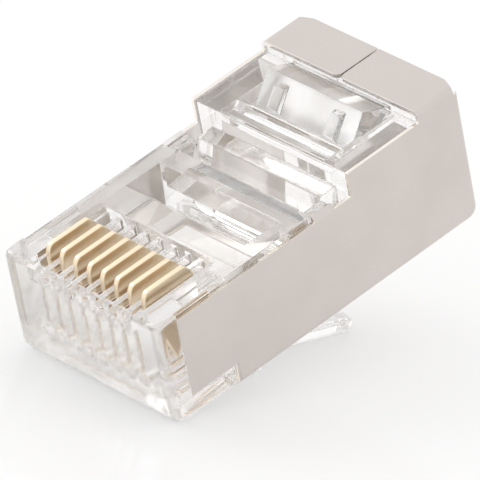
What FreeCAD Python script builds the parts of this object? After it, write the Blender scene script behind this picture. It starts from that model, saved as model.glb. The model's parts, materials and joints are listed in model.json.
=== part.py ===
import FreeCAD, Part
import Sketcher
import math
import os
import re

# Shielded eight-way modular plug, unterminated, millimetres.
# Level frame of the plug: x across, y from the nose face to the cable end, z up from the
# underside, so that the contacts look up and the latch hangs below. Every sub-part is drawn
# in that frame, except the latch, which is drawn along its own length from its hinge line.
# The finished plug stands as it does on a table, nose down on its chin and the latch tip.

CONTACT_COUNT = 8

SIZES = [
    ("plug_width", 11.7, "over the side walls of the shield"),
    ("plug_length", 21.95, "nose face to the rear edge of the shield"),
    ("front_height", 6.45, "underside to the top of the front block"),
    ("chin_round", 1.0, "radius of the lower front edge"),
    ("nose_round", 0.55, "radius of the nose's upright and lower side edges"),
    ("crown_round", 0.3, "radius of the upper nose edges"),
    ("sheet_thick", 0.25, "shield sheet"),
    ("shield_gap", 0.05, "air between the shield and the housing"),
    ("nose_length", 1.44, "housing ahead of the shield"),
    ("chin_length", 4.43, "nose face to the front edge of the shield's floor"),
    ("chin_height", 1.37, "bare chin below the shield's front edge"),
    ("wall_low", 6.15, "side wall height beside the front block"),
    ("wall_high", 7.61, "side wall height beside the window"),
    ("wall_step", 13.8, "nose face to the step in the side wall"),
    ("tab_start", 11.2, "nose face to the bent tab on the side wall"),
    ("tab_length", 1.4, "bent tab, and the round shoulder that it hugs"),
    ("tab_rise", 0.3, "tab above the low side wall, bent in by as much"),
    ("flap_start", 18.99, "nose face to the folded flaps"),
    ("flap_top", 8.23, "underside to the top of the flaps"),
    ("flap_corner", 1.0, "cut at the outer rear corners of the flaps"),
    ("seam_width", 0.1, "seam between the two flaps"),
    ("bend_round", 0.4, "outer radius of the folds"),
    ("tail_round", 0.7, "radius of the lower rear corner of the side walls"),
    ("latch_cut_end", 9.6, "nose face to the rear end of the floor's latch cut"),
    ("rear_set_in", 0.25, "housing rear face inside the shield's rear edge"),
    ("deck_height", 7.5, "underside to the top of the rear deck"),
    ("pocket_front", 7.54, "nose face to the front edge of the wire clamp pocket"),
    ("pocket_length", 2.45, "wire clamp pocket, front edge to back edge"),
    ("pocket_floor", 3.8, "underside to the bottom of the wire clamp pocket"),
    ("pocket_width", 8.9, "wire clamp pocket"),
    ("pocket_rake", 0.15, "lean of the pocket's back wall"),
    ("slot_start", 11.3, "nose face to the relief slot behind the wire clamp"),
    ("slot_length", 1.45, "relief slot at its top"),
    ("slot_floor", 4.4, "underside to the relief slot's floor"),
    ("slot_rake", 0.4, "lean of the relief slot's rear wall"),
    ("slot_width", 9.7, "relief slot"),
    ("shoulder_round", 0.45, "radius of the round shoulders"),
    ("shoulder_spread", 10.1, "spacing of the round shoulders' axes"),
    ("shoulder_axis", 5.88, "underside to the round shoulders' axes"),
    ("land_length", 1.15, "low land between the slot and the cross bar"),
    ("land_height", 6.3, "underside to the low land"),
    ("land_width", 9.2, "low land, open beyond it down to land_notch"),
    ("land_notch", 4.6, "underside to the floor of the notches beside the land"),
    ("bar_length", 1.5, "cross bar between the land and the window"),
    ("bar_groove", 0.4, "depth of the groove along the cross bar"),
    ("bar_lip", 0.15, "flat lip on each side of the cross bar's groove"),
    ("window_width", 7.7, "window of the jacket clamp"),
    ("contact_pitch", 1.02, "contact spacing"),
    ("contact_thick", 0.32, "contact blade"),
    ("contact_front", 1.2, "nose face to the front edge of the blades"),
    ("contact_length", 3.4, "contact blade, front edge to rear edge"),
    ("contact_height", 3.9, "contact blade, top edge to tine tips"),
    ("contact_stand", 0.52, "blade tops above the front block before crimping"),
    ("slide_gap", 0.03, "clearance on each side of a blade"),
    ("comb_start", 0.4, "nose face to the front ends of the trough and its slots"),
    ("comb_width", 0.62, "open slot above each blade"),
    ("comb_depth", 1.0, "open slots below the top of the front block"),
    ("trough_end", 5.75, "nose face to the rear wall of the contact trough"),
    ("trough_depth", 0.35, "contact trough below the top of the front block"),
    ("channel_bore", 0.92, "wire channel"),
    ("channel_height", 2.1, "underside to the wire channels' axes"),
    ("channel_start", 0.9, "nose face to the blind end of the wire channels"),
    ("channel_end", 6.3, "nose face to the mouths of the wire channels"),
    ("mouth_height", 1.3, "cavity at the mouths of the wire channels"),
    ("cavity_width", 8.2, "wire and jacket cavity"),
    ("cavity_web", 0.7, "wall between the cavity and the pockets above it"),
    ("cavity_floor", 0.95, "underside to the jacket cavity's floor"),
    ("cavity_roof", 6.7, "underside to the jacket cavity's roof"),
    ("entry_bore", 6.2, "round cable entry"),
    ("entry_height", 4.0, "underside to the cable entry's axis"),
    ("entry_length", 2.15, "round cable entry"),
    ("clamp_width", 7.1, "jacket clamp"),
    ("clamp_ridge", 8.4, "underside to the ridge of the jacket clamp"),
    ("clamp_axis_y", 19.1, "nose face to the jacket clamp's hinge line"),
    ("clamp_axis_z", 7.4, "underside to the jacket clamp's hinge line"),
    ("clamp_knuckle", 0.28, "radius of the jacket clamp's hinge bead"),
    ("clamp_reach", 3.0, "jacket clamp's hinge line to its toe"),
    ("clamp_run", 1.25, "jacket clamp's ridge to its toe, along the plug"),
    ("clamp_drop", 0.65, "jacket clamp's toe below its hinge line"),
    ("toe_height", 0.55, "jacket clamp's blunt toe"),
    ("toe_lean", 0.2, "lean of the jacket clamp's toe"),
    ("rib_spacing", 4.2, "spacing of the two grip ribs"),
    ("rib_width", 0.75, "grip rib"),
    ("rib_height", 0.4, "grip rib above the clamp's face"),
    ("rib_share", 0.8, "share of the clamp's face that a grip rib runs up"),
    ("hinge_gap", 0.05, "clearance round a hinge bead"),
    ("latch_axis_y", 1.9, "nose face to the latch's hinge line"),
    ("latch_axis_z", 0.25, "underside to the latch's hinge line"),
    ("latch_angle", 21.3, "free latch below the plug's underside, degrees"),
    ("latch_thick", 0.8, "latch blade"),
    ("latch_reach", 15.0, "latch's hinge line to the tip of the thumb piece"),
    ("latch_width", 6.0, "wide part of the latch"),
    ("thumb_width", 3.25, "thumb piece"),
    ("catch_reach", 6.9, "latch's hinge line to the locking shoulders"),
    ("ramp_start", 3.8, "latch's hinge line to the foot of the shoulders' ramp"),
    ("ramp_length", 2.4, "ramp up to the locking shoulders"),
    ("catch_rise", 0.2, "locking shoulders above the latch blade"),
    ("recess_front", 1.6, "full depth of the latch's recess, back from its hinge line"),
    ("recess_reach", 5.5, "latch's hinge line to the rear end of its recess"),
    ("thumb_round", 0.3, "radius of the tip's lower edge"),
    ("side_gap", 0.12, "clearance beside the latch in its recess"),
]

doc = FreeCAD.newDocument("modular_plug")
sheet = doc.addObject("Spreadsheet::Sheet", "sizes")
for row, (name, value, note) in enumerate(SIZES, 1):
    sheet.set(f"A{row}", note)
    sheet.set(f"B{row}", str(value))
    sheet.setAlias(f"B{row}", name)
doc.recompute()

NAMES = "|".join(name for name, value, note in SIZES)


def bound(text):
    """The text with every size name written as a reference to its cell."""
    return re.sub(rf"\b({NAMES})\b", r"sizes.\1", text)


def size(text):
    """The number that an expression in size names comes to."""
    return float(sheet.evalExpression(bound(text)))


# Sketch and feature helpers ---------------------------------------------------------------

def new_body(name):
    body = doc.addObject("PartDesign::Body", name)
    body.Label = name
    return body


def new_sketch(body, name, role, offset=None):
    """An empty sketch on one of the body's own origin planes, moved along its normal."""
    sketch = body.newObject("Sketcher::SketchObject", name)
    plane = next(item for item in body.Origin.OriginFeatures if item.Role == role)
    sketch.AttachmentSupport = (plane, "")
    sketch.MapMode = "FlatFace"
    if offset is not None:
        sketch.setExpression("AttachmentOffset.Base.z", bound(offset))
    return sketch


def pin(sketch, edge, end, point):
    """Ties one end or centre of a sketch edge to two expressions."""
    for kind, text in zip(("DistanceX", "DistanceY"), point):
        place = Sketcher.Constraint(kind, -1, 1, edge, end, size(text))
        index = sketch.addConstraint(place)
        sketch.setExpression(f"Constraints[{index}]", bound(text))


def polygon(body, name, role, points, offset=None):
    """Closed outline whose corners are pairs of expressions."""
    sketch = new_sketch(body, name, role, offset)
    corners = [FreeCAD.Vector(size(a), size(b), 0) for a, b in points]
    count = len(corners)
    for index in range(count):
        line = Part.LineSegment(corners[index], corners[(index + 1) % count])
        sketch.addGeometry(line, False)
    for index in range(count):
        joined = Sketcher.Constraint("Coincident", index, 2, (index + 1) % count, 1)
        sketch.addConstraint(joined)
        pin(sketch, index, 1, points[index])
    return sketch


def rectangle(body, name, role, low, high, offset=None):
    """Outline from one corner to the opposite one."""
    points = [low, (high[0], low[1]), high, (low[0], high[1])]
    return polygon(body, name, role, points, offset)


def circle(body, name, role, centre, radius, offset=None):
    """Round outline whose centre and radius are expressions."""
    sketch = new_sketch(body, name, role, offset)
    middle = FreeCAD.Vector(size(centre[0]), size(centre[1]), 0)
    normal = FreeCAD.Vector(0, 0, 1)
    sketch.addGeometry(Part.Circle(middle, normal, size(radius)), False)
    index = sketch.addConstraint(Sketcher.Constraint("Radius", 0, size(radius)))
    sketch.setExpression(f"Constraints[{index}]", bound(radius))
    pin(sketch, 0, 3, centre)
    return sketch


def feature(body, kind, name, sketch, length, side, reverse=False):
    made = body.newObject(kind, name)
    made.Profile = sketch
    made.SideType = side
    made.Reversed = reverse
    made.setExpression("Length", bound(length))
    return made


def add(body, name, sketch, length, side="Symmetric", reverse=False):
    """Adds the sketch's volume, centred on its plane unless side says otherwise."""
    made = feature(body, "PartDesign::Pad", name, sketch, length, side, reverse)
    doc.recompute()
    return made


def cut(body, name, sketch, length, side="Symmetric", reverse=False):
    """Removes the sketch's volume, and stops if nothing was removed."""
    before = body.Shape.Volume
    made = feature(body, "PartDesign::Pocket", name, sketch, length, side, reverse)
    doc.recompute()
    if body.Shape.Volume > before - 1e-6:
        raise RuntimeError(f"{name} removes nothing")
    return made


def repeat(body, name, made, role, length, count):
    """Repeats features along the normal of an origin plane."""
    pattern = body.newObject("PartDesign::LinearPattern", name)
    pattern.Originals = made
    plane = next(item for item in body.Origin.OriginFeatures if item.Role == role)
    pattern.Direction = (plane, [""])
    pattern.Occurrences = count
    pattern.setExpression("Length", bound(length))
    body.Tip = pattern
    doc.recompute()
    return pattern


def edges(shape, test):
    """Names of the edges whose box passes the test."""
    names = []
    for index, edge in enumerate(shape.Edges, 1):
        if test(edge.BoundBox):
            names.append(f"Edge{index}")
    return names


def near(value, text):
    """True where a coordinate is the one that the expression gives."""
    return abs(value - size(text)) < 1e-4


def soften(body, kind, name, base, names, amount):
    """Rounds or chamfers the named edges of a feature."""
    if not names:
        raise RuntimeError(f"{name} finds no edges")
    made = body.newObject(kind, name)
    made.Base = (base, names)
    made.setExpression("Radius" if kind.endswith("Fillet") else "Size", bound(amount))
    doc.recompute()
    return made


# Housing ----------------------------------------------------------------------------------

HALF = "plug_width / 2"
INNER_WIDTH = "(plug_width - 2 * (sheet_thick + shield_gap))"
SKIN = "(sheet_thick + shield_gap)"
LAND_START = "(slot_start + slot_length)"
BAR_START = "(slot_start + slot_length + land_length)"
WINDOW_START = "(slot_start + slot_length + land_length + bar_length)"
POCKET_BACK = "(pocket_front + pocket_length)"
ROOF = "(flap_top - sheet_thick - shield_gap)"
HOUSING_END = "(plug_length - rear_set_in)"
SHEET_LEAN = "(sheet_thick / sqrt(2))"
FIRST_CONTACT = f"-contact_pitch * {(CONTACT_COUNT - 1) / 2}"
CONTACT_SPAN = f"contact_pitch * {CONTACT_COUNT - 1}"


def add_housing():
    """Clear moulded housing, one piece with its comb, pockets, channels and cavity."""
    body = new_body("housing")
    nose = polygon(body, "nose_outline", "YZ_Plane", [
        ("0", "0"), ("chin_length", "0"), ("chin_length", "chin_height"),
        ("nose_length", "chin_height"), ("nose_length", "front_height"),
        ("0", "front_height")])
    nose_pad = add(body, "nose", nose, "plug_width")

    def chin_edge(box):
        return near(box.YMax, "0") and near(box.ZMax, "0")

    chin = soften(body, "PartDesign::Fillet", "chin_rounding", nose_pad,
                  edges(nose_pad.Shape, chin_edge), "chin_round")

    def side_edge(box):
        on_side = box.XLength < 1e-6 and near(abs(box.XMin), HALF)
        in_front = near(box.YMin, "0") and not near(box.ZMin, "front_height")
        beneath = near(box.ZMin, "0") and not near(box.YMin, "chin_length")
        return on_side and (in_front or beneath)

    lower = soften(body, "PartDesign::Fillet", "nose_rounding", chin,
                   edges(chin.Shape, side_edge), "nose_round")

    def upper_edge(box):
        at_top = near(box.ZMin, "front_height") and near(box.ZMax, "front_height")
        return at_top and not near(box.YMin, "nose_length")

    soften(body, "PartDesign::Fillet", "crown_rounding", lower,
           edges(lower.Shape, upper_edge), "crown_round")

    trunk = polygon(body, "trunk_outline", "YZ_Plane", [
        ("nose_length / 2", SKIN), ("nose_length / 2", "front_height"),
        (LAND_START, "front_height"), (LAND_START, "land_height"),
        (BAR_START, "land_height"), (BAR_START, "deck_height"),
        ("clamp_axis_y", "deck_height"), ("clamp_axis_y", ROOF),
        (HOUSING_END, ROOF), (HOUSING_END, SKIN)])
    trunk_pad = add(body, "trunk", trunk, INNER_WIDTH)

    def tail_edge(box):
        return near(box.YMin, HOUSING_END) and near(box.ZMax, SKIN)

    soften(body, "PartDesign::Fillet", "tail_rounding", trunk_pad,
           edges(trunk_pad.Shape, tail_edge), "tail_round")

    pocket = polygon(body, "wire_clamp_outline", "YZ_Plane", [
        ("pocket_front", "front_height"), (f"{POCKET_BACK} - pocket_rake", "pocket_floor"),
        (POCKET_BACK, "front_height"), (POCKET_BACK, "flap_top"),
        ("pocket_front", "flap_top")])
    cut(body, "wire_clamp_pocket", pocket, "pocket_width")

    slot = polygon(body, "relief_slot_outline", "YZ_Plane", [
        ("slot_start", "flap_top"), ("slot_start", "slot_floor"),
        (f"{LAND_START} - slot_rake", "slot_floor"), (LAND_START, "land_height"),
        (LAND_START, "flap_top")])
    cut(body, "relief_slot", slot, "slot_width")

    for name, sign in (("left", "-"), ("right", "")):
        notch = rectangle(body, f"{name}_notch_outline", "XY_Plane",
                          (f"{sign}land_width / 2", LAND_START),
                          (f"{sign}plug_width / 2", BAR_START), "land_notch")
        cut(body, f"{name}_notch", notch, "deck_height - land_notch", "One side", True)
        shelf = rectangle(body, f"{name}_shelf_outline", "XY_Plane",
                          (f"{sign}(shoulder_spread / 2 - shoulder_round)", "tab_start"),
                          (f"{sign}plug_width / 2", LAND_START), "shoulder_axis")
        cut(body, f"{name}_shelf", shelf, "deck_height - shoulder_axis", "One side", True)
        end = circle(body, f"{name}_shoulder_outline", "XZ_Plane",
                     (f"{sign}shoulder_spread / 2", "shoulder_axis"), "shoulder_round",
                     "-(tab_start + tab_length)")
        add(body, f"{name}_shoulder", end, "tab_length", "One side")

    groove = polygon(body, "bar_groove_outline", "YZ_Plane", [
        (f"{BAR_START} + bar_lip", "deck_height"),
        (f"{BAR_START} + bar_lip + bar_groove", "deck_height - bar_groove"),
        (f"{WINDOW_START} - bar_lip - bar_groove", "deck_height - bar_groove"),
        (f"{WINDOW_START} - bar_lip", "deck_height")])
    cut(body, "bar_groove", groove, "window_width")

    trough = rectangle(body, "trough_outline", "YZ_Plane",
                       ("comb_start", "front_height - trough_depth"),
                       ("trough_end", "flap_top"))
    cut(body, "contact_trough", trough, f"{CONTACT_SPAN} + contact_pitch")

    comb = rectangle(body, "comb_outline", "YZ_Plane",
                     ("comb_start", "front_height - comb_depth"),
                     ("trough_end", "flap_top"), FIRST_CONTACT)
    comb_slot = cut(body, "comb_slot", comb, "comb_width")
    repeat(body, "comb_slots", [comb_slot], "YZ_Plane", CONTACT_SPAN, CONTACT_COUNT)

    blade = rectangle(body, "blade_slot_outline", "YZ_Plane",
                      ("contact_front - slide_gap", "channel_height"),
                      ("contact_front + contact_length + slide_gap", "flap_top"),
                      FIRST_CONTACT)
    blade_slot = cut(body, "blade_slot", blade, "contact_thick + 2 * slide_gap")
    repeat(body, "blade_slots", [blade_slot], "YZ_Plane", CONTACT_SPAN, CONTACT_COUNT)

    cavity = polygon(body, "cavity_outline", "YZ_Plane", [
        ("channel_end", "channel_height - mouth_height / 2"),
        ("channel_end", "channel_height + mouth_height / 2"),
        (POCKET_BACK, "pocket_floor - cavity_web"),
        ("slot_start", "slot_floor - cavity_web"),
        (LAND_START, "slot_floor - cavity_web"),
        (BAR_START, "land_height - 2 * cavity_web"),
        (f"{BAR_START} + cavity_web", "cavity_roof"),
        (f"{HOUSING_END} - entry_length", "cavity_roof"),
        (f"{HOUSING_END} - entry_length", "cavity_floor"),
        (BAR_START, "cavity_floor")])
    cut(body, "cavity", cavity, "cavity_width")

    channel = circle(body, "channel_outline", "XZ_Plane",
                     (FIRST_CONTACT, "channel_height"), "channel_bore / 2",
                     "-channel_start")
    channel_cut = cut(body, "channel", channel, "channel_end - channel_start", "One side")
    repeat(body, "channels", [channel_cut], "YZ_Plane", CONTACT_SPAN, CONTACT_COUNT)

    window = rectangle(body, "window_outline", "YZ_Plane",
                       (WINDOW_START, "cavity_floor"), ("clamp_axis_y", "clamp_ridge"))
    cut(body, "window", window, "window_width")
    seat = circle(body, "clamp_seat_outline", "YZ_Plane", ("clamp_axis_y", "clamp_axis_z"),
                  "clamp_knuckle + hinge_gap")
    cut(body, "clamp_seat", seat, "clamp_width + 2 * hinge_gap")

    entry = circle(body, "entry_outline", "XZ_Plane", ("0", "entry_height"),
                   "entry_bore / 2", f"-({HOUSING_END} + hinge_gap)")
    cut(body, "cable_entry", entry, "entry_length + 4 * hinge_gap", "One side", True)

    latch_seat = circle(body, "latch_seat_outline", "YZ_Plane",
                        ("latch_axis_y", "latch_axis_z"), "latch_thick / 2 + hinge_gap")
    cut(body, "latch_seat", latch_seat, "latch_width + 2 * side_gap")
    recess = polygon(body, "latch_recess_outline", "YZ_Plane", [
        ("latch_axis_y", "-latch_thick"),
        ("latch_axis_y", "latch_axis_z + latch_thick / 2 + hinge_gap"),
        ("latch_axis_y + recess_front", "latch_axis_z + latch_thick / 2 + hinge_gap"),
        ("latch_axis_y + recess_reach", SKIN),
        ("latch_axis_y + recess_reach", "-latch_thick")])
    cut(body, "latch_recess", recess, "latch_width + 2 * side_gap")
    return body


# Shield -----------------------------------------------------------------------------------

def add_shield():
    """Nickel-plated shell folded from one sheet, its two flaps meeting in a seam."""
    body = new_body("shield")
    side = polygon(body, "side_outline", "YZ_Plane", [
        ("nose_length", "chin_height"), ("nose_length", "wall_low"),
        ("wall_step", "wall_low"),
        ("wall_step", "wall_high"), ("flap_start", "wall_high"),
        ("flap_start", "flap_top"), ("plug_length", "flap_top"), ("plug_length", "0"),
        ("chin_length", "0"), ("chin_length", "chin_height")])
    block = add(body, "folded_block", side, "plug_width")

    def tail_edge(box):
        return near(box.YMin, "plug_length") and near(box.ZMax, "0")

    tail = soften(body, "PartDesign::Fillet", "tail_rounding", block,
                  edges(block.Shape, tail_edge), "tail_round")

    def fold_edge(box):
        along = box.XLength < 1e-6 and near(abs(box.XMin), HALF)
        return along and (near(box.ZMin, "flap_top") or near(box.ZMin, "0"))

    soften(body, "PartDesign::Fillet", "outer_bends", tail,
           edges(tail.Shape, fold_edge), "bend_round")

    inside = rectangle(body, "inside_outline", "XZ_Plane",
                       ("-(plug_width / 2 - sheet_thick)", "sheet_thick"),
                       ("plug_width / 2 - sheet_thick", "flap_top - sheet_thick"))
    cut(body, "inside", inside, "2 * plug_length + 2 * sheet_thick")
    floor_end = rectangle(body, "floor_end_outline", "YZ_Plane",
                          ("plug_length - tail_round", "-sheet_thick"),
                          ("plug_length + sheet_thick", "tail_round"))
    ended = cut(body, "floor_end", floor_end, "plug_width - 2 * bend_round")

    def inner_fold(box):
        along = box.XLength < 1e-6 and near(abs(box.XMin), "plug_width / 2 - sheet_thick")
        return along and near(box.ZMin, "flap_top - sheet_thick")

    soften(body, "PartDesign::Fillet", "inner_bends", ended,
           edges(ended.Shape, inner_fold), "bend_round - sheet_thick")

    latch_cut = rectangle(body, "latch_cut_outline", "XY_Plane",
                          ("-(latch_width / 2 + 3 * side_gap)", "0"),
                          ("latch_width / 2 + 3 * side_gap", "latch_cut_end"),
                          "-sheet_thick")
    cut(body, "latch_cut", latch_cut, "3 * sheet_thick", "One side", True)
    seam = rectangle(body, "seam_outline", "XY_Plane",
                     ("-seam_width / 2", "flap_start - sheet_thick"),
                     ("seam_width / 2", "plug_length + sheet_thick"),
                     "flap_top + sheet_thick")
    seam_cut = cut(body, "seam", seam, "3 * sheet_thick", "One side")

    def seam_corner(box):
        upright = box.XLength < 1e-6 and box.YLength < 1e-6
        return upright and near(abs(box.XMin), "seam_width / 2") and near(box.YMin, "flap_start")

    soften(body, "PartDesign::Fillet", "seam_corners", seam_cut,
           edges(seam_cut.Shape, seam_corner), "bend_round")
    for name, sign in (("left", -1), ("right", 1)):
        corner = polygon(body, f"{name}_corner_outline", "XY_Plane", [
            (f"{sign} * (plug_width / 2 - flap_corner)", "plug_length"),
            (f"{sign} * (plug_width / 2 - flap_corner)", "plug_length + flap_corner"),
            (f"{sign} * (plug_width / 2 + flap_corner)", "plug_length + flap_corner"),
            (f"{sign} * (plug_width / 2 + flap_corner)", "plug_length - flap_corner"),
            (f"{sign} * plug_width / 2", "plug_length - bend_round")],
            "flap_top + sheet_thick")
        cut(body, f"{name}_corner", corner, "sheet_thick + bend_round", "One side")
        tab = polygon(body, f"{name}_tab_outline", "XZ_Plane", [
            (f"{sign} * plug_width / 2", "wall_low - 2 * sheet_thick"),
            (f"{sign} * plug_width / 2", "wall_low"),
            (f"{sign} * (plug_width / 2 - tab_rise)", "wall_low + tab_rise"),
            (f"{sign} * (plug_width / 2 - tab_rise - {SHEET_LEAN})",
             f"wall_low + tab_rise - {SHEET_LEAN}"),
            (f"{sign} * (plug_width / 2 - sheet_thick)",
             f"wall_low + sheet_thick - 2 * {SHEET_LEAN}"),
            (f"{sign} * (plug_width / 2 - sheet_thick)", "wall_low - 2 * sheet_thick")],
            "-(tab_start + tab_length)")
        add(body, f"{name}_tab", tab, "tab_length", "One side")
    return body


# Contacts ---------------------------------------------------------------------------------

# Corners of a blade, as shares of its length behind its front edge and of its height below
# its top edge: the worn-in top corners, the shanks, and three tines with two gaps between.
BLADE_CORNERS = [
    (0, 0.18), (0.04, 0.05), (0.11, 0), (0.84, 0), (1, 0.18), (1, 0.55),
    (0.82, 1), (0.67, 0.66), (0.5, 1), (0.33, 0.66), (0.18, 1), (0, 0.55),
]

def add_contact(index):
    """One gold-plated blade with three piercing tines, standing proud before crimping."""
    body = new_body(f"contact_{index}")
    blade = polygon(body, "blade_outline", "YZ_Plane", [
        (f"contact_front + {back} * contact_length",
         f"front_height + contact_stand - {down} * contact_height")
        for back, down in BLADE_CORNERS])
    add(body, "blade", blade, "contact_thick")
    return body


# Jacket clamp -----------------------------------------------------------------------------

def add_jacket_clamp():
    """Wedge in the window that the crimp turns down on the cable jacket."""
    body = new_body("jacket_clamp")
    toe_y = "(clamp_axis_y - clamp_reach)"
    toe_z = "(clamp_axis_z - clamp_drop)"
    rise = "(clamp_ridge - clamp_axis_z + clamp_drop)"
    wedge = polygon(body, "wedge_outline", "YZ_Plane", [
        ("clamp_axis_y", "clamp_axis_z + clamp_knuckle"),
        (f"{toe_y} + clamp_run", "clamp_ridge"),
        (toe_y, toe_z),
        (f"{toe_y} + toe_lean", f"{toe_z} - toe_height"),
        ("clamp_axis_y - clamp_knuckle", "clamp_axis_z - 0.3 * clamp_knuckle")])
    add(body, "wedge", wedge, "clamp_width")
    bead = circle(body, "bead_outline", "YZ_Plane", ("clamp_axis_y", "clamp_axis_z"),
                  "clamp_knuckle")
    add(body, "bead", bead, "clamp_width")
    for name, sign in (("left", "-"), ("right", "")):
        rib = polygon(body, f"{name}_rib_outline", "YZ_Plane", [
            (toe_y, toe_z),
            (f"{toe_y} - rib_height / 2", f"{toe_z} + rib_height"),
            (f"{toe_y} + rib_share * clamp_run - rib_height",
             f"{toe_z} + rib_share * {rise}"),
            (f"{toe_y} + rib_share * clamp_run", f"{toe_z} + rib_share * {rise}")],
            f"{sign}rib_spacing / 2")
        add(body, f"{name}_rib", rib, "rib_width")
    return body


# Latch ------------------------------------------------------------------------------------

def add_latch():
    """Locking latch, drawn flat from its hinge line along y, blade centred on z = 0."""
    body = new_body("latch")
    plan = polygon(body, "blade_outline", "XY_Plane", [
        ("-latch_width / 2", "0"), ("-latch_width / 2", "catch_reach"),
        ("-thumb_width / 2", "catch_reach"), ("-thumb_width / 2", "latch_reach"),
        ("thumb_width / 2", "latch_reach"), ("thumb_width / 2", "catch_reach"),
        ("latch_width / 2", "catch_reach"), ("latch_width / 2", "0")])
    blade = add(body, "blade", plan, "latch_thick")

    def tip_corner(box):
        upright = box.XLength < 1e-6 and box.YLength < 1e-6
        return upright and near(box.YMax, "latch_reach")

    corners = soften(body, "PartDesign::Fillet", "tip_corners", blade,
                     edges(blade.Shape, tip_corner), "2 * thumb_round")

    def tip_outline(box):
        flat = box.ZLength < 1e-6
        return flat and box.YMax > size("latch_reach - 1.9 * thumb_round")

    soften(body, "PartDesign::Fillet", "tip_rounding", corners,
           edges(corners.Shape, tip_outline), "thumb_round")
    bead = circle(body, "bead_outline", "YZ_Plane", ("0", "0"), "latch_thick / 2")
    add(body, "bead", bead, "latch_width")
    catch = polygon(body, "catch_outline", "YZ_Plane", [
        ("ramp_start", "0"), ("ramp_start", "latch_thick / 2"),
        ("ramp_start + ramp_length", "latch_thick / 2 + catch_rise"),
        ("catch_reach", "latch_thick / 2 + catch_rise"), ("catch_reach", "0")])
    add(body, "catch", catch, "latch_width")
    return body


# Resting pose -----------------------------------------------------------------------------

def resting_pose():
    """Placement that stands the level plug on its chin and the tip of its latch."""
    drop = math.radians(size("latch_angle"))
    hinge = (size("latch_axis_y"), size("latch_axis_z"))
    out = size("latch_reach - thumb_round")
    low = size("thumb_round - latch_thick / 2")
    tip = (hinge[0] + out * math.cos(drop) + low * math.sin(drop),
           hinge[1] - out * math.sin(drop) + low * math.cos(drop))
    chin = (size("chin_round"), size("chin_round"))
    along = tip[0] - chin[0]
    down = tip[1] - chin[1]
    lean = math.asin(size("thumb_round - chin_round") / math.hypot(along, down))
    tilt = lean - math.atan2(down, along)

    crown = size("crown_round")
    front = (crown * math.cos(tilt) - (size("front_height") - crown) * math.sin(tilt)) - crown
    tail = size("tail_round")
    rear = (size("plug_length") - tail) * math.cos(tilt) - tail * math.sin(tilt) + tail
    lift = chin[0] - chin[0] * math.sin(tilt) - chin[1] * math.cos(tilt)
    turn = FreeCAD.Rotation(FreeCAD.Vector(1, 0, 0), math.degrees(tilt))
    return FreeCAD.Placement(FreeCAD.Vector(0, -(front + rear) / 2, lift), turn)


def write_parts(bodies):
    """Checks every object, then writes one STEP file for each sub-part."""
    doc.recompute()
    failed = [item.Name for item in doc.Objects
              if "Invalid" in item.State or "Error" in item.State]
    if failed:
        raise RuntimeError(f"failed objects: {failed}")
    for body in bodies:
        if body.Shape.isNull() or not body.Shape.isValid():
            raise RuntimeError(f"bad shape: {body.Label}")
        if len(body.Shape.Solids) != 1:
            raise RuntimeError(f"{body.Label} has {len(body.Shape.Solids)} solids")
    os.makedirs("parts", exist_ok=True)
    for body in bodies:
        body.Shape.exportStep(f"parts/{body.Label}.step")
        box = body.Shape.BoundBox
        print(body.Label, round(body.Shape.Volume, 3), box)


pose = resting_pose()
housing = add_housing()
shield = add_shield()
jacket_clamp = add_jacket_clamp()
latch = add_latch()
contacts = [add_contact(index) for index in range(1, CONTACT_COUNT + 1)]

for body in (housing, shield, jacket_clamp):
    body.Placement = pose
for index, body in enumerate(contacts):
    across = size(f"contact_pitch * {index - (CONTACT_COUNT - 1) / 2}")
    body.Placement = pose * FreeCAD.Placement(FreeCAD.Vector(across, 0, 0), FreeCAD.Rotation())
hinge_line = FreeCAD.Vector(0, size("latch_axis_y"), size("latch_axis_z"))
hang = FreeCAD.Rotation(FreeCAD.Vector(1, 0, 0), -size("latch_angle"))
latch.Placement = pose * FreeCAD.Placement(hinge_line, hang)

write_parts([housing, shield, jacket_clamp, latch] + contacts)
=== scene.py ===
"""Shielded eight-way modular plug, dressed for a soft studio picture.

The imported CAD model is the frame. Each sub-assembly is a class that holds its own sizes in
millimetres, makes its meshes and gives them their finish. Lengths become metres only when a
mesh is handed to Blender.
"""

from __future__ import annotations

import json
import logging
import math
from collections.abc import Sequence
from dataclasses import dataclass
from enum import Enum
from typing import ClassVar

import bmesh
import bpy
from mathutils import Matrix, Vector

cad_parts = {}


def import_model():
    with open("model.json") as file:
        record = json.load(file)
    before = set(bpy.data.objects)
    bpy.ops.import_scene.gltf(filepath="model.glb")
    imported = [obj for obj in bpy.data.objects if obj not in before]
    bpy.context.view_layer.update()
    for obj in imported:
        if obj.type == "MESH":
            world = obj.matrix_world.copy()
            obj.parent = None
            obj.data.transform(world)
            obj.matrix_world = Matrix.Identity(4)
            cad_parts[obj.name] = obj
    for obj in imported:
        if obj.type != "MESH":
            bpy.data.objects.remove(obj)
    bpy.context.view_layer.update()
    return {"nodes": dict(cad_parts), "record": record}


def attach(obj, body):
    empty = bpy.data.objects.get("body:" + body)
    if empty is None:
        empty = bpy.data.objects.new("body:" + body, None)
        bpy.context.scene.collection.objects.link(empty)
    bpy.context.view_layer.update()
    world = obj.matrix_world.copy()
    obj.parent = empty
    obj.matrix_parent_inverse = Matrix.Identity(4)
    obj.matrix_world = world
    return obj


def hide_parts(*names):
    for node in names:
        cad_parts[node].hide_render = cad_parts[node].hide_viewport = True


log = logging.getLogger("modular_plug")

MM = 0.001
WELD_MM = 0.002
CUT_WELD_MM = 0.01
FLAT = math.radians(0.5)
CONTACT_COUNT = 8
CONTACT_PITCH_MM = 1.02


class Slot(Enum):
    """The record's material slots."""

    HOUSING = "housing"
    SHIELD = "shield"
    JACKET_CLAMP = "jacket_clamp"
    LATCH = "latch"
    CONTACTS = "contacts"


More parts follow.
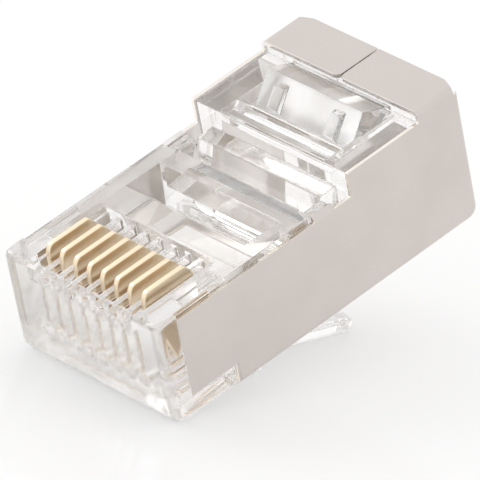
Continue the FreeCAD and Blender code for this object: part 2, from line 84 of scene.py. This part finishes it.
def linear(code: str) -> tuple[float, float, float, float]:
    """Turns an sRGB hex colour into linear light.

    Args:
        code: Six hex digits after a hash sign.

    Returns:
        Red, green, blue and a full alpha.
    """
    values = [int(code[index : index + 2], 16) / 255 for index in (1, 3, 5)]
    light = [v / 12.92 if v <= 0.04045 else ((v + 0.055) / 1.055) ** 2.4 for v in values]
    return (light[0], light[1], light[2], 1.0)


def add_node(
    tree: bpy.types.NodeTree,
    kind: str,
    settings: dict[str, object] | None = None,
    inputs: dict[str, object] | None = None,
) -> bpy.types.Node:
    """Adds one node, sets it up and links what feeds it.

    Args:
        tree: The node tree that gets the node.
        kind: Blender's name for the type of node.
        settings: Values of the node's own properties.
        inputs: For each input socket, a value or the output socket that feeds it.

    Returns:
        The new node.
    """
    node = tree.nodes.new(kind)
    for name, value in (settings or {}).items():
        setattr(node, name, value)
    for name, value in (inputs or {}).items():
        socket = node.inputs[int(name)] if name.isdigit() else node.inputs[name]
        if isinstance(value, bpy.types.NodeSocket):
            tree.links.new(value, socket)
        else:
            socket.default_value = value
    return node


def empty_material(name: str) -> tuple[bpy.types.Material, bpy.types.NodeTree]:
    """Makes a material with nothing in its node tree.

    Args:
        name: The finish's name.

    Returns:
        The material and its tree.
    """
    material = bpy.data.materials.new(name)
    material.use_nodes = True
    material.node_tree.nodes.clear()
    return material, material.node_tree


def metres_scale(size_mm: float) -> float:
    """Texture scale that gives one period for each size_mm of object coordinates."""
    return 1.0 / (size_mm * MM)


def seen_by_eye(tree: bpy.types.NodeTree) -> bpy.types.NodeSocket:
    """Adds nodes that give 1 for what the eye sees directly, in gloss or through plastic.

    Args:
        tree: The node tree of a table or surroundings.

    Returns:
        The socket with the result.
    """
    path = add_node(tree, "ShaderNodeLightPath")
    direct = add_node(
        tree,
        "ShaderNodeMath",
        settings={"operation": "MAXIMUM"},
        inputs={"0": path.outputs["Is Camera Ray"], "1": path.outputs["Is Glossy Ray"]},
    )
    through = add_node(
        tree,
        "ShaderNodeMath",
        settings={"operation": "MAXIMUM"},
        inputs={"0": direct.outputs[0], "1": path.outputs["Is Transmission Ray"]},
    )
    return through.outputs[0]


# Finishes ---------------------------------------------------------------------------------


@dataclass(frozen=True)
class ClearPolycarbonate:
    """Injection-moulded clear polycarbonate: glossy, refracting, with faint flow marks.

    Polished mould faces give hard bright edges and let the shell and the blades show through;
    a spark-eroded or grit-blasted face scatters the light and turns nearly white.
    """

    name: str = "moulded_clear_polycarbonate"
    colour: str = "#FFFEFD"
    ior: float = 1.586
    roughness: float = 0.04
    clarity: float = 1.0
    flow_mark_mm: float = 1.6
    flow_depth_mm: float = 0.0012

    def material(self) -> bpy.types.Material:
        """Makes the finish as a Blender material."""
        material, tree = empty_material(self.name)
        place = add_node(tree, "ShaderNodeTexCoord")
        stretch = add_node(
            tree,
            "ShaderNodeMapping",
            inputs={"Vector": place.outputs["Object"], "Scale": (1.0, 0.35, 1.0)},
        )
        flow = add_node(
            tree,
            "ShaderNodeTexNoise",
            inputs={
                "Vector": stretch.outputs["Vector"],
                "Scale": metres_scale(self.flow_mark_mm),
                "Detail": 2.0,
            },
        )
        bump = add_node(
            tree,
            "ShaderNodeBump",
            inputs={
                "Strength": 1.0,
                "Distance": self.flow_depth_mm * MM,
                "Height": flow.outputs["Fac"],
            },
        )
        shader = add_node(
            tree,
            "ShaderNodeBsdfPrincipled",
            inputs={
                "Base Color": linear(self.colour),
                "Roughness": self.roughness,
                "IOR": self.ior,
                "Transmission Weight": self.clarity,
                "Normal": bump.outputs["Normal"],
            },
        )
        add_node(
            tree, "ShaderNodeOutputMaterial", inputs={"Surface": shader.outputs["BSDF"]}
        )
        return material


@dataclass(frozen=True)
class NickelPlatedBrass:
    """Nickel plating on rolled brass sheet: warm grey, satin, with the sheet's faint grain."""

    name: str = "nickel_plated_brass"
    colour: str = "#D9D2CD"
    dull_colour: str = "#D2CAC5"
    roughness: float = 0.3
    grain_mm: float = 0.15
    grain_depth_mm: float = 0.0001
    cloud_mm: float = 3.0

    def material(self) -> bpy.types.Material:
        """Makes the finish as a Blender material."""
        material, tree = empty_material(self.name)
        place = add_node(tree, "ShaderNodeTexCoord")
        stretch = add_node(
            tree,
            "ShaderNodeMapping",
            inputs={"Vector": place.outputs["Object"], "Scale": (1.0, 0.08, 1.0)},
        )
        grain = add_node(
            tree,
            "ShaderNodeTexNoise",
            inputs={
                "Vector": stretch.outputs["Vector"],
                "Scale": metres_scale(self.grain_mm),
                "Detail": 3.0,
            },
        )
        cloud = add_node(
            tree,
            "ShaderNodeTexNoise",
            inputs={
                "Vector": place.outputs["Object"],
                "Scale": metres_scale(self.cloud_mm),
                "Detail": 4.0,
            },
        )
        tint = add_node(
            tree,
            "ShaderNodeMix",
            settings={"data_type": "RGBA"},
            inputs={
                "0": cloud.outputs["Fac"],
                "6": linear(self.colour),
                "7": linear(self.dull_colour),
            },
        )
        gloss = add_node(
            tree,
            "ShaderNodeMapRange",
            inputs={
                "Value": cloud.outputs["Fac"],
                "From Min": 0.3,
                "From Max": 0.7,
                "To Min": self.roughness - 0.04,
                "To Max": self.roughness + 0.06,
            },
        )
        bump = add_node(
            tree,
            "ShaderNodeBump",
            inputs={
                "Strength": 0.5,
                "Distance": self.grain_depth_mm * MM,
                "Height": grain.outputs["Fac"],
            },
        )
        shader = add_node(
            tree,
            "ShaderNodeBsdfPrincipled",
            inputs={
                "Base Color": tint.outputs["Result"],
                "Metallic": 1.0,
                "Roughness": gloss.outputs["Result"],
                "Normal": bump.outputs["Normal"],
            },
        )
        add_node(
            tree, "ShaderNodeOutputMaterial", inputs={"Surface": shader.outputs["BSDF"]}
        )
        return material


@dataclass(frozen=True)
class GoldPlatedBronze:
    """Hard gold on stamped phosphor bronze: bright, with the shear lines of the stamping."""

    name: str = "gold_plated_phosphor_bronze"
    colour: str = "#FFF3DD"
    deep_colour: str = "#FEE6C2"
    roughness: float = 0.32
    shear_mm: float = 0.05
    shear_depth_mm: float = 0.0008

    def material(self) -> bpy.types.Material:
        """Makes the finish as a Blender material."""
        material, tree = empty_material(self.name)
        place = add_node(tree, "ShaderNodeTexCoord")
        stretch = add_node(
            tree,
            "ShaderNodeMapping",
            inputs={"Vector": place.outputs["Object"], "Scale": (0.3, 1.0, 0.15)},
        )
        shear = add_node(
            tree,
            "ShaderNodeTexNoise",
            inputs={
                "Vector": stretch.outputs["Vector"],
                "Scale": metres_scale(self.shear_mm),
                "Detail": 2.0,
            },
        )
        tint = add_node(
            tree,
            "ShaderNodeMix",
            settings={"data_type": "RGBA"},
            inputs={
                "0": shear.outputs["Fac"],
                "6": linear(self.colour),
                "7": linear(self.deep_colour),
            },
        )
        bump = add_node(
            tree,
            "ShaderNodeBump",
            inputs={
                "Strength": 0.6,
                "Distance": self.shear_depth_mm * MM,
                "Height": shear.outputs["Fac"],
            },
        )
        shader = add_node(
            tree,
            "ShaderNodeBsdfPrincipled",
            inputs={
                "Base Color": tint.outputs["Result"],
                "Metallic": 1.0,
                "Roughness": self.roughness,
                "Normal": bump.outputs["Normal"],
            },
        )
        add_node(
            tree, "ShaderNodeOutputMaterial", inputs={"Surface": shader.outputs["BSDF"]}
        )
        return material


@dataclass(frozen=True)
class WhiteAcrylicSheet:
    """White acrylic table sheet: pale and lightly glossy, so that what stands on it mirrors."""

    name: str = "white_acrylic_sheet"
    colour: str = "#FDFCFB"
    roughness: float = 0.1
    haze_mm: float = 40.0
    lift: float = 0.5

    def material(self) -> bpy.types.Material:
        """Makes the finish as a Blender material."""
        material, tree = empty_material(self.name)
        place = add_node(tree, "ShaderNodeTexCoord")
        haze = add_node(
            tree,
            "ShaderNodeTexNoise",
            inputs={
                "Vector": place.outputs["Object"],
                "Scale": metres_scale(self.haze_mm),
                "Detail": 1.0,
            },
        )
        gloss = add_node(
            tree,
            "ShaderNodeMapRange",
            inputs={
                "Value": haze.outputs["Fac"],
                "To Min": self.roughness,
                "To Max": self.roughness + 0.05,
            },
        )
        shader = add_node(
            tree,
            "ShaderNodeBsdfPrincipled",
            inputs={"Base Color": linear(self.colour), "Roughness": gloss.outputs["Result"]},
        )
        white = add_node(tree, "ShaderNodeEmission", inputs={"Color": (1, 1, 1, 1)})
        share = add_node(
            tree,
            "ShaderNodeMath",
            settings={"operation": "MULTIPLY"},
            inputs={"0": seen_by_eye(tree), "1": self.lift},
        )
        mixed = add_node(
            tree,
            "ShaderNodeMixShader",
            inputs={
                "0": share.outputs[0],
                "1": shader.outputs["BSDF"],
                "2": white.outputs["Emission"],
            },
        )
        add_node(
            tree, "ShaderNodeOutputMaterial", inputs={"Surface": mixed.outputs["Shader"]}
        )
        return material


# Mesh helpers -----------------------------------------------------------------------------


def tidy_form(form: bmesh.types.BMesh, weld_mm: float) -> None:
    """Welds a form's points and joins its facets into whole flat faces.

    Args:
        form: The mesh in millimetres.
        weld_mm: Distance under which two points become one.
    """
    bmesh.ops.remove_doubles(form, verts=form.verts, dist=weld_mm)
    bmesh.ops.dissolve_limit(form, angle_limit=FLAT, verts=form.verts, edges=form.edges)


@dataclass(frozen=True)
class PlugFrame:
    """The plug's own level frame, in the frame in which it stands on its chin.

    In the level frame x runs across, y back from the nose face and z up from the underside.
    """

    lean: float
    origin: Vector

    NOSE_MOUNT_MM: ClassVar[float] = 3.2
    GRID_DIGITS: ClassVar[int] = 3

    @classmethod
    def from_record(cls, record: dict) -> PlugFrame:
        """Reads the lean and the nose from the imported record.

        Args:
            record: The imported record.

        Returns:
            The frame.
        """
        joints = {joint["name"]: joint for joint in record["behaviour"]["joints"]}
        down = joints["contact_1_crimp"]["axis"]
        lean = math.atan2(down[1], -down[2])
        mounts = {mount["name"]: mount for mount in record["mounts"]}
        middle = Vector(mounts["nose_face"]["pos_m"])
        rise = Matrix.Rotation(lean, 3, "X") @ Vector((0, 0, cls.NOSE_MOUNT_MM * MM))
        return cls(lean, middle - rise)

    def standing(self) -> Matrix:
        """Takes a point from level millimetres to standing metres."""
        turn = Matrix.Rotation(self.lean, 4, "X")
        return Matrix.Translation(self.origin) @ turn @ Matrix.Scale(MM, 4)

    def form_of(self, node: bpy.types.Object) -> bmesh.types.BMesh:
        """Copies a CAD node into a level form in millimetres with whole flat faces.

        Args:
            node: The node's object.

        Returns:
            The welded form.
        """
        form = bmesh.new()
        form.from_mesh(node.data)
        form.transform(self.standing().inverted())
        for vert in form.verts:
            vert.co = [round(share, self.GRID_DIGITS) for share in vert.co]
        tidy_form(form, WELD_MM)
        return form

    def piece_from(
        self,
        form: bmesh.types.BMesh,
        name: str,
        finishes: Sequence[bpy.types.Material],
        smooth: float = 60.0,
    ) -> bpy.types.Object:
        """Turns a level form in millimetres into a shown piece in metres.

        Args:
            form: The mesh in level millimetres; it is freed.
            name: The piece's name.
            finishes: Its materials, in the order of the faces' indices.
            smooth: Angle in degrees under which edges shade smoothly.

        Returns:
            The new object, linked to the scene.
        """
        form.transform(self.standing())
        bmesh.ops.recalc_face_normals(form, faces=form.faces)
        mesh = bpy.data.meshes.new(name)
        form.to_mesh(mesh)
        form.free()
        for finish in finishes:
            mesh.materials.append(finish)
        for face in mesh.polygons:
            face.use_smooth = True
        mesh.set_sharp_from_angle(angle=math.radians(smooth))
        piece = bpy.data.objects.new(name, mesh)
        bpy.context.scene.collection.objects.link(piece)
        even = piece.modifiers.new("even_normals", "WEIGHTED_NORMAL")
        even.keep_sharp = True
        log.info("%s: %d faces", name, len(mesh.polygons))
        return piece


def contact_middles() -> list[float]:
    """Places of the contacts across the plug, in millimetres from the left one to the right."""
    return [CONTACT_PITCH_MM * (index - (CONTACT_COUNT - 1) / 2) for index in range(CONTACT_COUNT)]


def fit(piece: bpy.types.Object, body: str, node: str) -> None:
    """Puts a piece on its body in place of a CAD node.

    Args:
        piece: The shown piece.
        body: The body that it rides on.
        node: The node that it stands for.
    """
    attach(piece, body)
    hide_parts(node)


def break_edges(
    form: bmesh.types.BMesh, radius_mm: float, sharp: float, segments: int = 2
) -> None:
    """Rounds every edge that is sharper than an angle.

    Args:
        form: The mesh in millimetres.
        radius_mm: The rounding's width.
        sharp: Angle in degrees.
        segments: Facets across the rounding.
    """
    limit = math.radians(sharp)
    low = Vector([min(vert.co[axis] for vert in form.verts) for axis in range(3)])
    high = Vector([max(vert.co[axis] for vert in form.verts) for axis in range(3)])
    found = [edge for edge in form.edges if edge.is_manifold and edge.calc_face_angle(0) > limit]
    bmesh.ops.bevel(
        form,
        geom=found,
        offset=radius_mm,
        offset_type="OFFSET",
        segments=segments,
        profile=0.5,
        affect="EDGES",
        clamp_overlap=False,
    )
    for vert in form.verts:
        for axis in range(3):
            vert.co[axis] = min(max(vert.co[axis], low[axis]), high[axis])


def cut_blocks(
    form: bmesh.types.BMesh, blocks: Sequence[tuple[Vector, Vector]]
) -> bmesh.types.BMesh:
    """Cuts square blocks out of a form.

    Args:
        form: The mesh in millimetres; it is freed.
        blocks: Low and high corner of each block.

    Returns:
        The form that is left.
    """
    tool = bmesh.new()
    for low, high in blocks:
        middle = Matrix.Translation((low + high) / 2)
        bmesh.ops.create_cube(tool, size=1.0, matrix=middle @ Matrix.Diagonal((*(high - low), 1)))
    solids = []
    for name, mesh_form in (("blank", form), ("tool", tool)):
        mesh = bpy.data.meshes.new(name)
        mesh_form.to_mesh(mesh)
        mesh_form.free()
        solids.append(bpy.data.objects.new(name, mesh))
        bpy.context.scene.collection.objects.link(solids[-1])
    step = solids[0].modifiers.new("cut", "BOOLEAN")
    step.operation = "DIFFERENCE"
    step.solver = "EXACT"
    step.object = solids[1]
    view = bpy.context.evaluated_depsgraph_get()
    left = bmesh.new()
    left.from_object(solids[0], view)
    for solid in solids:
        mesh = solid.data
        bpy.data.objects.remove(solid)
        bpy.data.meshes.remove(mesh)
    tidy_form(left, CUT_WELD_MM)
    return left


# Sub-assemblies ---------------------------------------------------------------------------


@dataclass
class Housing:
    """Clear moulded housing: polished, with a spark-eroded nose and open comb slots."""

    polished: bpy.types.Material
    eroded: bpy.types.Material
    edge_mm: float = 0.04
    sharp: float = 35.0
    nose_depth_mm: float = 0.62
    nose_facing: float = 0.35
    slot_width_mm: float = 0.62
    slot_front_mm: float = -0.5
    slot_rear_mm: float = 0.7
    slot_floor_mm: float = 5.45
    slot_top_mm: float = 6.6

    def slot_fronts(self) -> list[tuple[Vector, Vector]]:
        """Low and high corners of the blocks that open the comb slots to the nose."""
        blocks = []
        half = self.slot_width_mm / 2
        for middle in contact_middles():
            low = Vector((middle - half, self.slot_front_mm, self.slot_floor_mm))
            high = Vector((middle + half, self.slot_rear_mm, self.slot_top_mm))
            blocks.append((low, high))
        return blocks

    def build(self, plug: PlugFrame, nodes: dict[str, bpy.types.Object]) -> None:
        """Makes the housing with softened mould edges.

        Args:
            plug: The plug's level frame.
            nodes: The CAD nodes by name.
        """
        form = plug.form_of(nodes["housing"])
        break_edges(form, self.edge_mm, self.sharp)
        form = cut_blocks(form, self.slot_fronts())
        form.normal_update()
        for face in form.faces:
            at_nose = face.calc_center_median().y < self.nose_depth_mm
            in_front = face.normal.y < -self.nose_facing
            face.material_index = 1 if at_nose and in_front else 0
        piece = plug.piece_from(form, "housing_moulding", [self.polished, self.eroded])
        fit(piece, "plug", "housing")


@dataclass
class Shield:
    """Folded metal shell: its outer face, its face towards the housing painted brighter than the
    outer face, and its cut edges painted near white as a highlight.
    """

    outer: bpy.types.Material
    # Painted light: the face towards the housing gets a brighter copy of the nickel, so that more
    # light reaches the clear plastic.
    painted_bright_inner: bpy.types.Material
    # Painted highlight: the cut edges of the sheet get a near-white copy of the nickel.
    painted_highlight_sheared: bpy.types.Material
    edge_mm: float = 0.03
    sharp: float = 35.0
    half_width_mm: float = 5.85
    flap_top_mm: float = 8.23
    sheet_mm: float = 0.25
    middle_mm: float = 4.0
    seam_mm: float = 0.4
    edge_facing: float = 0.7

    def side_of_sheet(self, face: bmesh.types.BMFace) -> int:
        """Says which finish a face gets.

        Args:
            face: A face of the shell, in level millimetres.

        Returns:
            0 outside and on the cut edges in the seam (kept at the darker outer finish as painted
            shade in the slit), 1 on the face towards the housing (painted brighter), 2 on the
            other cut edges (painted highlight).
        """
        place = face.calc_center_median()
        skin = min(self.half_width_mm - abs(place.x), self.flap_top_mm - place.z, place.z)
        inward = Vector((-place.x, 0, self.middle_mm - place.z)).normalized()
        facing = face.normal.dot(inward)
        within_sheet = abs(skin - self.sheet_mm / 2) < self.sheet_mm / 4
        if within_sheet and abs(facing) < self.edge_facing:
            # Cut edges in the seam keep the darker outer finish as painted shade in the slit; the
            # other cut edges get the painted highlight.
            return 0 if abs(place.x) < self.seam_mm else 2
        # Faces towards the housing get the painted brighter copy, as painted light inside the
        # clear plastic.
        return 1 if facing > 0 and skin > self.sheet_mm / 2 else 0

    def build(self, plug: PlugFrame, nodes: dict[str, bpy.types.Object]) -> None:
        """Makes the shell with its stamped edges broken.

        Args:
            plug: The plug's level frame.
            nodes: The CAD nodes by name.
        """
        form = plug.form_of(nodes["shield"])
        break_edges(form, self.edge_mm, self.sharp)
        form.normal_update()
        for face in form.faces:
            face.material_index = self.side_of_sheet(face)
        finishes = [self.outer, self.painted_bright_inner, self.painted_highlight_sheared]
        piece = plug.piece_from(form, "shield_shell", finishes)
        fit(piece, "plug", "shield")


@dataclass
class MovingMouldings:
    """Jacket clamp and latch, polished, with the clamp's front face grit-blasted."""

    polished: bpy.types.Material
    blasted: bpy.types.Material
    edge_mm: float = 0.05
    sharp: float = 35.0
    front_facing: float = 0.5

    def build(self, plug: PlugFrame, nodes: dict[str, bpy.types.Object]) -> None:
        """Makes both mouldings with softened edges.

        Args:
            plug: The plug's level frame.
            nodes: The CAD nodes by name.
        """
        for slot in (Slot.JACKET_CLAMP, Slot.LATCH):
            form = plug.form_of(nodes[slot.value])
            break_edges(form, self.edge_mm, self.sharp)
            form.normal_update()
            for face in form.faces:
                in_front = face.normal.y < -self.front_facing
                face.material_index = 1 if slot is Slot.JACKET_CLAMP and in_front else 0
            name = f"{slot.value}_moulding"
            piece = plug.piece_from(form, name, [self.polished, self.blasted])
            fit(piece, slot.value, slot.value)


@dataclass
class Contacts:
    """Eight stamped blades with rounded shoulders and three piercing tines."""

    finish: bpy.types.Material
    thick_mm: float = 0.32
    front_mm: float = 1.2
    length_mm: float = 3.4
    top_mm: float = 6.97
    height_mm: float = 3.9
    nose_back_mm: float = 0.42
    nose_down_mm: float = 0.7
    heel_back_mm: float = 0.54
    heel_down_mm: float = 0.7
    corner_steps: int = 6
    heel_bow: float = 0.25
    edge_mm: float = 0.07
    edge_steps: int = 3
    smooth: float = 40.0

    LOWER_SHARES: ClassVar[tuple[tuple[float, float], ...]] = (
        (1, 0.55),
        (0.82, 1),
        (0.67, 0.66),
        (0.5, 1),
        (0.33, 0.66),
        (0.18, 1),
        (0, 0.55),
    )

    def outline(self) -> list[tuple[float, float]]:
        """Corners of the blade as distances back from its front and down from its top."""
        points = []
        for step in range(self.corner_steps + 1):
            turn = math.pi / 2 * step / self.corner_steps
            points.append(
                (
                    self.nose_back_mm * (1 - math.sin(turn)),
                    self.nose_down_mm * (1 - math.cos(turn)),
                )
            )
        points.reverse()
        heel = self.length_mm - self.heel_back_mm
        for step in range(self.corner_steps + 1):
            turn = math.pi / 2 * step / self.corner_steps
            along = (1 - self.heel_bow) * step / self.corner_steps
            points.append(
                (
                    heel + self.heel_back_mm * (along + self.heel_bow * math.sin(turn)),
                    self.heel_down_mm * (along + self.heel_bow * (1 - math.cos(turn))),
                )
            )
        points += [
            (back * self.length_mm, down * self.height_mm) for back, down in self.LOWER_SHARES
        ]
        return points

    def blade(self, across: float) -> bmesh.types.BMesh:
        """Stamps one blade.

        Args:
            across: The blade's middle, across the plug.

        Returns:
            The form in level millimetres.
        """
        form = bmesh.new()
        low = across - self.thick_mm / 2
        corners = [
            form.verts.new((low, self.front_mm + back, self.top_mm - down))
            for back, down in self.outline()
        ]
        side = form.faces.new(corners)
        grown = bmesh.ops.extrude_face_region(form, geom=[side])["geom"]
        moved = [item for item in grown if isinstance(item, bmesh.types.BMVert)]
        bmesh.ops.translate(form, verts=moved, vec=(self.thick_mm, 0, 0))
        bmesh.ops.recalc_face_normals(form, faces=form.faces)
        rims = [
            edge
            for edge in form.edges
            if abs(edge.verts[0].co.x - edge.verts[1].co.x) < WELD_MM
        ]
        bmesh.ops.bevel(
            form,
            geom=rims,
            offset=self.edge_mm,
            offset_type="OFFSET",
            segments=self.edge_steps,
            profile=0.5,
            affect="EDGES",
            clamp_overlap=True,
        )
        return form

    def build(self, plug: PlugFrame) -> None:
        """Makes the blades and sets them in their slots.

        Args:
            plug: The plug's level frame.
        """
        for number, across in enumerate(contact_middles(), 1):
            name = f"contact_{number}"
            form = self.blade(across)
            piece = plug.piece_from(form, f"{name}_blade", [self.finish], self.smooth)
            fit(piece, name, name)


# Studio -----------------------------------------------------------------------------------


@dataclass
class Studio:
    """White table, even white surroundings, one large soft lamp and the camera."""

    table_finish: bpy.types.Material
    table_radius_mm: float = 1500.0
    table_corners: int = 96
    world_light: float = 0.95
    lamp_watts: float = 0.32
    lamp_size_mm: float = 240.0
    lamp_place_mm: tuple[float, float, float] = (-310.0, -140.0, 265.0)
    view_azimuth: float = 44.194
    view_elevation: float = 22.114
    view_roll: float = 6.305
    view_target_mm: tuple[float, float, float] = (0.96, -1.05, 6.71)
    view_distance_mm: float = 399.0
    lens_mm: float = 585.0
    sensor_mm: float = 36.0
    nearest_m: float = 0.01
    farthest_m: float = 10.0
    path_steps: int = 64
    diffuse_steps: int = 48

    def table(self) -> None:
        """Lays the table sheet as a wide disc under the plug."""
        form = bmesh.new()
        bmesh.ops.create_circle(
            form,
            cap_ends=True,
            segments=self.table_corners,
            radius=self.table_radius_mm * MM,
        )
        mesh = bpy.data.meshes.new("table")
        form.to_mesh(mesh)
        form.free()
        mesh.materials.append(self.table_finish)
        table = bpy.data.objects.new("table", mesh)
        bpy.context.scene.collection.objects.link(table)

    def world(self) -> None:
        """Makes the surroundings white to the eye and plain in the light they give."""
        world = bpy.data.worlds.new("white_studio")
        world.use_nodes = True
        tree = world.node_tree
        tree.nodes.clear()
        strength = add_node(
            tree,
            "ShaderNodeMapRange",
            inputs={
                "Value": seen_by_eye(tree),
                "To Min": self.world_light,
                "To Max": 1.0,
            },
        )
        light = add_node(
            tree,
            "ShaderNodeBackground",
            inputs={"Color": (1, 1, 1, 1), "Strength": strength.outputs["Result"]},
        )
        add_node(
            tree, "ShaderNodeOutputWorld", inputs={"Surface": light.outputs["Background"]}
        )
        bpy.context.scene.world = world

    def lamp(self) -> None:
        """Hangs one large soft lamp over the plug's left shoulder."""
        data = bpy.data.lights.new("soft_box", "AREA")
        data.energy = self.lamp_watts
        data.size = self.lamp_size_mm * MM
        lamp = bpy.data.objects.new("soft_box", data)
        place = Vector(self.lamp_place_mm) * MM
        lamp.location = place
        lamp.rotation_euler = (-place).to_track_quat("-Z", "Y").to_euler()
        bpy.context.scene.collection.objects.link(lamp)

    def camera(self) -> None:
        """Sets the camera at the picture's viewing angle."""
        azimuth = math.radians(self.view_azimuth)
        elevation = math.radians(self.view_elevation)
        back = Vector(
            (
                math.sin(azimuth) * math.cos(elevation),
                -math.cos(azimuth) * math.cos(elevation),
                math.sin(elevation),
            )
        )
        data = bpy.data.cameras.new("camera")
        data.lens = self.lens_mm
        data.sensor_width = self.sensor_mm
        data.clip_start = self.nearest_m
        data.clip_end = self.farthest_m
        camera = bpy.data.objects.new("camera", data)
        aim = (-back).to_track_quat("-Z", "Y").to_matrix()
        roll = Matrix.Rotation(math.radians(self.view_roll), 3, "Z")
        place = (aim @ roll).to_4x4()
        place.translation = Vector(self.view_target_mm) * MM + back * self.view_distance_mm * MM
        camera.matrix_world = place
        bpy.context.scene.collection.objects.link(camera)
        bpy.context.scene.camera = camera

    def exposure(self) -> None:
        """Sets the picture's tone, and paths long enough to cross all the clear faces."""
        scene = bpy.context.scene
        scene.view_settings.view_transform = "Standard"
        scene.cycles.max_bounces = self.path_steps
        scene.cycles.transparent_max_bounces = self.path_steps
        scene.cycles.transmission_bounces = self.path_steps
        scene.cycles.glossy_bounces = self.path_steps
        scene.cycles.diffuse_bounces = self.diffuse_steps

    def build(self) -> None:
        """Sets up everything round the plug."""
        self.table()
        self.world()
        self.lamp()
        self.camera()
        self.exposure()


def main() -> None:
    """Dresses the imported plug."""
    logging.basicConfig(level=logging.INFO, format="%(message)s")
    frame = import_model()
    nodes = frame["nodes"]
    plug = PlugFrame.from_record(frame["record"])
    clear = ClearPolycarbonate().material()
    eroded = ClearPolycarbonate(
        name="spark_eroded_clear_polycarbonate", roughness=0.25
    ).material()
    blasted = ClearPolycarbonate(
        name="grit_blasted_clear_polycarbonate", roughness=0.5
    ).material()
    outer_nickel = NickelPlatedBrass().material()
    # Painted light: a brighter copy of the nickel for the shell's face towards the housing, in
    # place of light inside the clear plastic.
    painted_bright_inside = NickelPlatedBrass(
        name="nickel_plated_brass_painted_bright_inside", colour="#F8F6F4", dull_colour="#F2EFEC"
    ).material()
    # Painted highlight: a near-white copy of the nickel for the cut edges of the sheet.
    painted_highlight_sheared = NickelPlatedBrass(
        name="nickel_plated_brass_painted_highlight_sheared",
        colour="#FBF6EE",
        dull_colour="#F3ECE0",
        roughness=0.2,
    ).material()
    Housing(polished=clear, eroded=eroded).build(plug, nodes)
    Shield(outer=outer_nickel, painted_bright_inner=painted_bright_inside, painted_highlight_sheared=painted_highlight_sheared).build(plug, nodes)
    MovingMouldings(polished=clear, blasted=blasted).build(plug, nodes)
    Contacts(finish=GoldPlatedBronze().material()).build(plug)
    Studio(table_finish=WhiteAcrylicSheet().material()).build()


if __name__ == "__main__":
    main()
